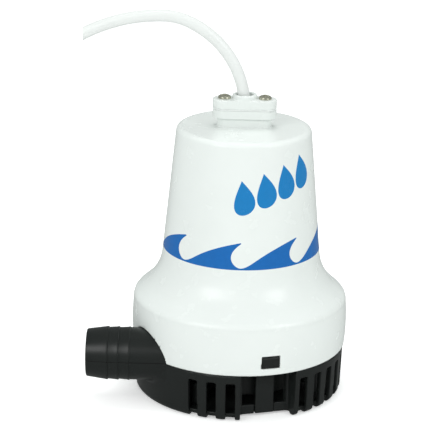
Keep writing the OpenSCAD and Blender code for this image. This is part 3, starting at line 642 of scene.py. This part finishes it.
def latch_field(angle):
    """A finger that stands in the recess, with a tab at its head and a trunnion through its foot."""
    back, foot_back, root = FINGER_FACE - FINGER_T, FINGER_FACE - FINGER_FOOT_T, FINGER_FACE - 0.5
    finger = Outline(
        [(foot_back, FINGER_LOW), (FINGER_FACE, FINGER_LOW), (FINGER_FACE, FINGER_TOP)]
        + [(back, FINGER_TOP), (back, BAR_TOP + 4), (foot_back, BAR_TOP)],
        step=0.1,
    )
    tab = Outline(
        [(root, TAB_LOW), (TAB_OUT, TAB_LOW), (TAB_OUT, TAB_TOP - TAB_CHAMFER)]
        + [(TAB_OUT - TAB_CHAMFER, TAB_TOP), (root, TAB_TOP)],
        step=0.1,
    )

    def field(x, y, z):
        u, v = turned(x, y, angle)
        body = meet(finger(u, z) + SOFTEN, np.abs(v) - FINGER_HALF_W + SOFTEN, 0.3) - SOFTEN
        head = meet(tab(u, z) + SOFTEN, np.abs(v) - TAB_HALF_W + SOFTEN, 0.3) - SOFTEN
        body = join(body, head, 0.6)
        pin = meet(np.hypot(u - pivot_at, z - pivot_z) - PIN_R, np.abs(v) - PIN_HALF_L, 0.15)
        return np.minimum(body, pin)

    return field


WALL = 2.5
CROWN_BEND_R, CROWN_WIDEST, CROWN_TOP = 120, 13, 24.6
CONE_LEAN, TOP_ROUND = 5.45, 3
WINDOW_LOW, WINDOW_HIGH, WINDOW_HALF_W = 30.2, 37.4, 5.1
MOTOR_SLEEVE_IN_R, MOTOR_SLEEVE_R, MOTOR_SLEEVE_TOP = 39.8, 43, 74
PLATE_LOW, PLATE_TOP = 44, 45.6
BOSS_AT, BOSS_R, BOSS_TOP = 44.6, 3.8, 58
GLAND_SCREW_AT, GLAND_END_R, GLAND_SCREW_L = 10.8, 6.2, 12
NECK_AT, NECK_R = 9.6, 4.9
COLLAR_R, SPIGOT_R, GLAND_BORE_R, POCKET_R = 6.5, 5.0, 4.6, 5.2
SEAM_ROUND = 0.12


def housing_line(depth):
    """The housing's side view at a depth inside its skin: crown, shoulder, waist, cone, round top."""
    height = top_z - skirt_z
    crown = []
    for k in range(17):
        z = CROWN_TOP * k / 16
        bulge = math.sqrt(CROWN_BEND_R**2 - (z - CROWN_WIDEST) ** 2) - CROWN_BEND_R
        crown.append((skirt_r + bulge - depth, z))
    shoulder = arc((53, CROWN_TOP), 5 - depth, 9, 48.5, 12)
    waist = arc((71.2, 53.5), 28.7 + depth, 228.5, 180 + CONE_LEAN, 40)
    end_r, end_z = waist[-1]
    round_r = TOP_ROUND - depth / 2
    round_z = height - depth - round_r
    cone_r = end_r - (round_z - end_z) * math.tan(math.radians(CONE_LEAN))
    top = arc((cone_r - round_r, round_z), round_r, CONE_LEAN, 90, 12)
    line = crown + shoulder + waist + top
    return [(line[0][0], -20)] + line + [(0, height - depth), (0, -20)]


def gland_plan(x, y, at, end_r):
    """Distance to a plan with two round ends, whose centres are that far either side of the axis."""
    return np.hypot(np.maximum(np.abs(x) - at, 0), y) - end_r


def gland_holes(x, y, r):
    """Distance to the two screw holes of the gland."""
    return np.hypot(np.abs(x) - GLAND_SCREW_AT, y) - r


def housing_field():
    outer = Outline(housing_line(0))
    inner = Outline(housing_line(WALL))

    def field(x, y, z):
        r = np.hypot(x, y)
        h = z - skirt_z
        skin = outer(r, h)
        hollow = inner(r, h)
        neck = gland_plan(x, y, NECK_AT, NECK_R)
        neck = meet(neck, span(z, top_z - 2, gland_flange_z + 1), 0.2)
        flange = meet(gland_plan(x, y, GLAND_SCREW_AT, GLAND_END_R), gland_flange_z - z, 0.4)
        flange = meet(flange, z - gland_base_z, SEAM_ROUND)
        body = join(skin, join(neck, flange, 0.3), 0.6)
        body = meet(body, -hollow, 0.1)
        body = meet(body, skirt_z - z, 0.5)
        sleeve = span(r, MOTOR_SLEEVE_IN_R, MOTOR_SLEEVE_R)
        sleeve = np.maximum(sleeve, span(z, PLATE_TOP, MOTOR_SLEEVE_TOP))
        body = np.minimum(body, np.maximum(sleeve, skin))
        for angle in case_screw_angles:
            boss = np.maximum(rod(x, y, BOSS_AT, angle, BOSS_R), span(z, PLATE_TOP, BOSS_TOP))
            body = np.minimum(body, np.maximum(boss, skin))
            bore = rod(x, y, BOSS_AT, angle, SCREW_BORE_R)
            body = np.maximum(body, -np.maximum(bore, span(z, PLATE_LOW, PLATE_TOP + 9)))
        motor_room = np.maximum(r - MOTOR_SLEEVE_IN_R, span(z, PLATE_LOW, MOTOR_SLEEVE_TOP))
        body = np.maximum(body, -motor_room)
        for side in (0, 180):
            u, v = turned(x, y, latch_angle + side)
            window = meet(np.abs(v) - WINDOW_HALF_W, span(z, WINDOW_LOW, WINDOW_HIGH), 0.5)
            window = np.maximum(window, 50 - u)
            body = cut(body, window, 0.35)
        arch = np.maximum(np.hypot(y - nozzle_y, z - nozzle_z) - ARCH_R - 0.1, x + 20)
        body = cut(body, arch, 0.45)
        bores = np.maximum(gland_holes(x, y, 1.5), gland_top_z - GLAND_SCREW_L - 1 - z)
        body = np.maximum(body, -bores)
        pocket = np.maximum(r - POCKET_R, gland_flange_z + 0.6 - z)
        pocket = np.minimum(pocket, np.maximum(r - cable_r - 0.2, top_z - 10 - z))
        return np.maximum(body, -pocket)

    return field


def cap_field(x, y, z):
    r = np.hypot(x, y)
    plate = meet(gland_plan(x, y, GLAND_SCREW_AT, GLAND_END_R), z - gland_top_z, 0.45)
    plate = meet(plate, gland_cap_z - z, SEAM_ROUND)
    collar = meet(r - COLLAR_R, span(z, gland_cap_z, cap_high[2]), 0.7)
    spigot = meet(r - SPIGOT_R, span(z, cap_low[2], gland_cap_z + 1), 0.2)
    body = join(np.minimum(plate, spigot), collar, 0.5)
    body = cut(body, np.maximum(r - GLAND_BORE_R, gland_cap_z + 0.6 - z), 0.35)
    body = np.maximum(body, cable_r + 0.45 - r)
    return cut(body, gland_holes(x, y, 1.8), 0.15)


def gasket_field(x, y, z):
    plate = gland_plan(x, y, GLAND_SCREW_AT, GLAND_END_R - 0.04)
    plate = meet(plate, span(z, gasket_low[2], gasket_high[2]), 0.1)
    body = np.maximum(plate, POCKET_R - np.hypot(x, y))
    return np.maximum(body, -gland_holes(x, y, 1.9))


PAN_HEAD_R, PAN_HEAD_H, DOME_R, SHANK_R = 3.5, 2.2, 5.6, 1.45


def pan_screw_field(x, y, z):
    """A pan-head screw with a cross recess, its head's underside at z 0."""
    r = np.hypot(x, y)
    dome = np.hypot(r, z + DOME_R - PAN_HEAD_H) - DOME_R
    head = meet(meet(r - PAN_HEAD_R, -z, 0.25), dome, 0.5)
    shank = meet(r - SHANK_R, span(z, -GLAND_SCREW_L, 0.4), 0.4)
    body = np.minimum(head, shank)
    depth = PAN_HEAD_H - z
    for a, b in ((x, y), (y, x)):
        slot = meet(np.abs(a) - 0.52 + 0.12 * depth, np.abs(b) - 1.95 + 0.55 * depth, 0.15)
        body = cut(body, np.maximum(slot, 0.7 - z), 0.12)
    return body


# ---- Materials ----

WHITE = (0.80, 0.835, 0.815)
BLACK = (0.0125, 0.0148, 0.014)

WHITE_FINISH = (WHITE, 0.25, 900, 0.00002, 0.38)
BLACK_FINISH = (BLACK, 0.34, 1500, 0.00004, 0.34)

white_plastic = moulded("white_plastic", *WHITE_FINISH)
printed_plastic = moulded("printed_white_plastic", *WHITE_FINISH, housing_print)
black_plastic = moulded("black_plastic", *BLACK_FINISH)
# black plastic with a painted shade line along the nozzle's seam
seam_shaded_plastic = moulded("black_plastic_painted_seam_shade", *BLACK_FINISH, seam_shade_line)
cable_pvc = moulded("cable_pvc", (0.79, 0.81, 0.795), 0.38, 1200, 0.00003)
steel = metal("polished_stainless", (0.60, 0.59, 0.55), 0.22)
screw_steel = metal("passivated_stainless", (0.50, 0.50, 0.40), 0.20, shine=0.72)
seal_rubber = rubber("pale_gasket_rubber", (0.78, 0.80, 0.79))


# ---- Visible pieces ----

black_base = solid("strainer_base_shell", base_field(), base_low, base_high, 0.38)
finish_piece(black_base, "base", "black_plastic", black_plastic, "strainer_base")
bars_low = (base_low[0], base_low[1], FLOOR_LOW)
bars_high = (base_high[0], base_high[1], BAR_TOP)
bars = solid("recess_bars", bar_field, bars_low, bars_high, 0.25)
finish_piece(bars, "base", "black_plastic", black_plastic, "strainer_base")

casing_start = (SLEEVE - 1 - nozzle_tip, casing_low[1], casing_low[2])
casing = solid("volute_chamber", casing_field(), casing_start, casing_high, 0.5)
# the casing and the ridged nozzle both carry the painted seam shade line at the nozzle's height
finish_piece(casing, "base", "black_plastic", seam_shaded_plastic, "volute_casing")
finish_piece(nozzle_sleeve("ridged_nozzle"), "base", "black_plastic", seam_shaded_plastic, "volute_casing")

for name, angle in (("front_latch", latch_angle), ("rear_latch", latch_angle + 180)):
    low, high = node_box(name)
    latch = solid(name + "_finger", latch_field(angle), low, high, 0.25)
    finish_piece(latch, name, "black_plastic", black_plastic, name)

housing = solid("housing_shell", housing_field(), housing_low, housing_high, 0.4)
finish_piece(housing, "motor_unit", "white_plastic", printed_plastic, "motor_housing")

cap = solid("gland_cap_moulding", cap_field, cap_low, cap_high, 0.25)
finish_piece(cap, "motor_unit", "white_plastic", white_plastic, "gland_cap")

gasket = solid("gland_gasket_sheet", gasket_field, gasket_low, gasket_high, 0.2)
finish_piece(gasket, "motor_unit", "grey_rubber", seal_rubber, "gland_gasket")


def gland_screws():
    low = (-PAN_HEAD_R, -PAN_HEAD_R, -GLAND_SCREW_L)
    high = (PAN_HEAD_R, PAN_HEAD_R, PAN_HEAD_H)
    one = solid("gland_screw_set", pan_screw_field, low, high, 0.14)
    whole = bmesh.new()
    for side, spin in ((-1, 25.0), (1, 65.0)):
        copy = bmesh.new()
        copy.from_mesh(one.data)
        turn = Matrix.Rotation(math.radians(spin), 3, "Z")
        bmesh.ops.rotate(copy, verts=copy.verts, cent=(0, 0, 0), matrix=turn)
        place = Vector((side * GLAND_SCREW_AT, 0, gland_top_z)) * MM
        bmesh.ops.translate(copy, verts=copy.verts, vec=place)
        part = bpy.data.meshes.new("part")
        copy.to_mesh(part)
        copy.free()
        whole.from_mesh(part)
        bpy.data.meshes.remove(part)
    whole.to_mesh(one.data)
    whole.free()
    one.data.shade_smooth()
    return one


finish_piece(gland_screws(), "motor_unit", "stainless", screw_steel, "gland_screws")


# ---- Cable ----

BEND_FROM_Z = 156.0
BEND_RADII = [51.0, 32.8, 88.0]
BEND_STEP = (7.0, 16.8)
AROUND = 40


def cable_path():
    """Centre points in the plane y = 0: upright, then three bends, up to the cut end."""
    first_r, second_r, third_r = BEND_RADII
    joint = math.degrees(math.atan2(BEND_STEP[1], BEND_STEP[0]))
    first = (-first_r, BEND_FROM_Z)
    second = (first[0] + BEND_STEP[0], first[1] + BEND_STEP[1])
    third = (second[0], second[1] + second_r - third_r)
    end = math.degrees(math.acos((cable_low[0] - third[0]) / third_r))
    points = [(0.0, cable_low[2] + (BEND_FROM_Z - cable_low[2]) * k / 12) for k in range(12)]
    points += arc(first, first_r, 0, joint, 40)[:-1]
    points += arc(second, second_r, joint, 90, 12)[:-1]
    points += arc(third, third_r, 90, end, 30)
    return points


def cable_tube(name, radius):
    """The cable along its path. Its last ring is sheared upright, as the cut is."""
    points = cable_path()
    last = len(points) - 1
    mesh = bmesh.new()
    rings = []
    for k, (px, pz) in enumerate(points):
        ax, az = points[max(k - 1, 0)]
        bx, bz = points[min(k + 1, last)]
        length = math.hypot(bx - ax, bz - az)
        tx, tz = (bx - ax) / length, (bz - az) / length
        ring = []
        for j in range(AROUND):
            a = 2 * math.pi * j / AROUND
            out, flat = radius * math.cos(a), radius * math.sin(a)
            vx, vz = px + tz * out, pz - tx * out
            if k == last:
                vz += (px - vx) * tz / tx
                vx = px
            ring.append(mesh.verts.new((vx * MM, flat * MM, vz * MM)))
        rings.append(ring)
    for a, b in zip(rings, rings[1:]):
        for j in range(AROUND):
            i = (j + 1) % AROUND
            mesh.faces.new((a[j], a[i], b[i], b[j]))
    for end in (0, -1):
        mesh.faces.new(rings[end])
    bmesh.ops.recalc_face_normals(mesh, faces=mesh.faces)
    data = bpy.data.meshes.new(name)
    mesh.to_mesh(data)
    mesh.free()
    data.shade_smooth()
    data.set_sharp_from_angle(angle=math.radians(40))
    return new_object(name, data)


jacket = cable_tube("cable_outer_jacket", cable_r)
finish_piece(jacket, "motor_unit", "white_pvc", cable_pvc, "cable_jacket")


# ---- Pieces that keep their CAD shape ----

def dress(material, *names):
    for name in names:
        piece = frame["nodes"][name]
        piece.data.materials.clear()
        piece.data.materials.append(material)


black_rubber = rubber("black_rubber", (0.02, 0.02, 0.021))
dress(black_rubber, "volute_gasket", "cable_grommet", "seal_plate_ring", "shaft_seal")
dress(steel, "casing_screws", "seal_plate_screws", "motor_screws")
dress(metal("ground_shaft", (0.62, 0.62, 0.60), 0.15, (1, 1, 12)), "motor_shaft")
dress(metal("zinc_plate", (0.56, 0.57, 0.55), 0.34, (1, 1, 3), 500), "motor_can")
dress(metal("copper_strand", (0.72, 0.33, 0.17), 0.28), "copper_conductors", "commutator")
dress(metal("brass", (0.66, 0.47, 0.20), 0.28), "terminals", "thrust_washers", "impeller_nut")
sintered_bronze = grainy("sintered_bronze", (0.42, 0.27, 0.12), 0.5, 1500, 1.0)
dress(sintered_bronze, "upper_bearing", "lower_bearing")
dress(metal("spring_bronze", (0.55, 0.36, 0.17), 0.3), "brush_springs")
dress(grainy("ferrite", (0.045, 0.045, 0.05), 0.55, 1200), "field_magnets")
dress(grainy("phenolic", (0.10, 0.055, 0.03), 0.5, 900), "brush_plate")
dress(grainy("carbon", (0.02, 0.02, 0.023), 0.6, 1800), "carbon_brushes")
dress(moulded("brown_lead", (0.12, 0.035, 0.012), 0.4, 1200, 0.00003), "positive_lead")
dress(moulded("black_lead", (0.012, 0.012, 0.012), 0.4, 1200, 0.00003), "negative_lead")
dress(moulded("blue_nylon", (0.02, 0.035, 0.09), 0.42, 1100, 0.00004), "impeller")
dress(white_plastic, "seal_plate")


SHEET_PITCH, WIRE_PITCH = 0.0005, 0.0008


def laminations():
    m = Recipe("stacked_laminations")
    height = m.add("ShaderNodeSeparateXYZ", {0: m.place()}).outputs[2]
    stripe = m.calc("SINE", m.calc("MULTIPLY", height, 2 * math.pi / SHEET_PITCH))
    tint = m.mix(m.ramp(stripe, -1, 1, 0, 1), (0.09, 0.09, 0.095), (0.26, 0.26, 0.27))
    skin = m.bump(stripe, 0.5, 0.00008)
    gloss = m.ramp(m.noise(300), 0.3, 0.7, 0.35, 0.55)
    return m.set(Base_Color=tint, Metallic=0.9, Roughness=gloss, Normal=skin)


def windings():
    m = Recipe("enamelled_windings")
    x, y, _ = m.add("ShaderNodeSeparateXYZ", {0: m.place()}).outputs
    strand = m.calc("SINE", m.calc("MULTIPLY", m.calc("ADD", x, y), 2 * math.pi / WIRE_PITCH))
    # painted shade and painted highlight: the colour runs from dark in the grooves between wire turns to bright on
    # their crowns, besides the bump
    tint = m.mix(m.ramp(strand, -1, 1, 0, 1), (0.16, 0.04, 0.012), (0.42, 0.14, 0.05))
    skin = m.bump(strand, 0.6, 0.00015)
    return m.set(Base_Color=tint, Metallic=0.7, Roughness=0.35, Normal=skin)


dress(laminations(), "armature_core")
dress(windings(), "armature_windings")


# ---- Studio ----

ROOM_TINT = (0.955, 1.0, 0.985)
ROOM_LIGHT = 0.64
MIRROR_LIGHT = 0.26
LAMP_POWER = 3.0
FRONT_POWER = 1.0
TOP_POWER = 3.8
FLOOR_SIZE, FLOOR_GAP, FLOOR_GLOW = 6.0, 0.0002, 0.42


def studio_floor():
    """A pale floor. The camera sees it brighter, so that only the shade under the pump shows."""
    mesh = bmesh.new()
    bmesh.ops.create_grid(mesh, x_segments=8, y_segments=8, size=FLOOR_SIZE)
    data = bpy.data.meshes.new("studio_floor")
    mesh.to_mesh(data)
    mesh.free()
    floor = new_object("studio_floor", data)
    floor.location.z = -FLOOR_GAP
    floor.visible_glossy = False
    m = Recipe("pale_floor")
    clouds = m.mix(m.noise(20), (0.93, 0.93, 0.93), (0.96, 0.96, 0.96))
    path = m.add("ShaderNodeLightPath")
    glow = m.calc("MULTIPLY", path.outputs["Is Camera Ray"], FLOOR_GLOW)
    m.set(Base_Color=clouds, Roughness=0.9, Specular_IOR_Level=0.0)
    m.set(Emission_Color=(1, 1, 1), Emission_Strength=glow)
    data.materials.append(m.material)


def softbox(name, azimuth, elevation, distance, size, power, target_z=0.07):
    """A square lamp seen from the pump at an azimuth from -Y towards +X, and an elevation."""
    a, e = math.radians(azimuth), math.radians(elevation)
    way = Vector((math.sin(a) * math.cos(e), -math.cos(a) * math.cos(e), math.sin(e)))
    lamp = bpy.data.lights.new(name, "AREA")
    lamp.shape = "SQUARE"
    lamp.size = size
    lamp.energy = power
    holder = bpy.data.objects.new(name, lamp)
    bpy.context.scene.collection.objects.link(holder)
    holder.location = Vector((0, 0, target_z)) + way * distance
    holder.rotation_euler = (-way).to_track_quat("-Z", "Y").to_euler()
    return holder


def white_room():
    """The camera sees pure white. The pump is lit evenly, and mirrors a darker room."""
    world = bpy.data.worlds.new("white_room")
    world.use_nodes = True
    tree = world.node_tree
    tree.nodes.clear()

    def light(colour, strength):
        node = tree.nodes.new("ShaderNodeBackground")
        node.inputs["Color"].default_value = (*colour, 1)
        node.inputs["Strength"].default_value = strength
        return node

    def mixed(share, a, b):
        node = tree.nodes.new("ShaderNodeMixShader")
        tree.links.new(share, node.inputs[0])
        tree.links.new(a.outputs[0], node.inputs[1])
        tree.links.new(b.outputs[0], node.inputs[2])
        return node

    path = tree.nodes.new("ShaderNodeLightPath")
    room, mirror = light(ROOM_TINT, ROOM_LIGHT), light(ROOM_TINT, MIRROR_LIGHT)
    mirrored = mixed(path.outputs["Is Glossy Ray"], room, mirror)
    seen = mixed(path.outputs["Is Camera Ray"], mirrored, light((1, 1, 1), 1.0))
    out = tree.nodes.new("ShaderNodeOutputWorld")
    tree.links.new(seen.outputs[0], out.inputs[0])
    bpy.context.scene.world = world


CAMERA_AT = (0.0, -1.0395, 0.4330)
CAMERA_YAW, CAMERA_PITCH, CAMERA_ROLL = -0.801, 17.94, 1.23
FOCAL_PIXELS, FRAME_PIXELS, SENSOR = 2020.0, 430.0, 36.0


def photo_camera():
    yaw, pitch, roll = (math.radians(a) for a in (CAMERA_YAW, CAMERA_PITCH, CAMERA_ROLL))
    forward = Vector((math.sin(yaw) * math.cos(pitch), math.cos(yaw) * math.cos(pitch), -math.sin(pitch)))
    right = forward.cross(Vector((0, 0, 1))).normalized()
    up = right.cross(forward)
    across = math.cos(roll) * right + math.sin(roll) * up
    upward = -math.sin(roll) * right + math.cos(roll) * up
    lens = bpy.data.cameras.new("photo_camera")
    lens.sensor_width = SENSOR
    lens.lens = FOCAL_PIXELS / FRAME_PIXELS * SENSOR
    lens.clip_end = 100
    camera = bpy.data.objects.new("photo_camera", lens)
    bpy.context.scene.collection.objects.link(camera)
    matrix = camera.matrix_world.copy()
    for row in range(3):
        matrix[row][0], matrix[row][1], matrix[row][2] = across[row], upward[row], -forward[row]
        matrix[row][3] = CAMERA_AT[row]
    camera.matrix_world = matrix
    bpy.context.scene.camera = camera


studio_floor()
white_room()
softbox("left_softbox", -41.5, 29.5, 1.2, 0.46, LAMP_POWER)
softbox("right_softbox", 51.0, 30.0, 1.2, 0.46, LAMP_POWER)
softbox("front_softbox", -20.0, 31.0, 1.3, 0.45, FRONT_POWER)
softbox("top_light", 180.0, 80.0, 1.1, 0.5, TOP_POWER).visible_glossy = False
photo_camera()
bpy.context.scene.view_settings.view_transform = "Standard"
bpy.context.scene.view_settings.look = "None"
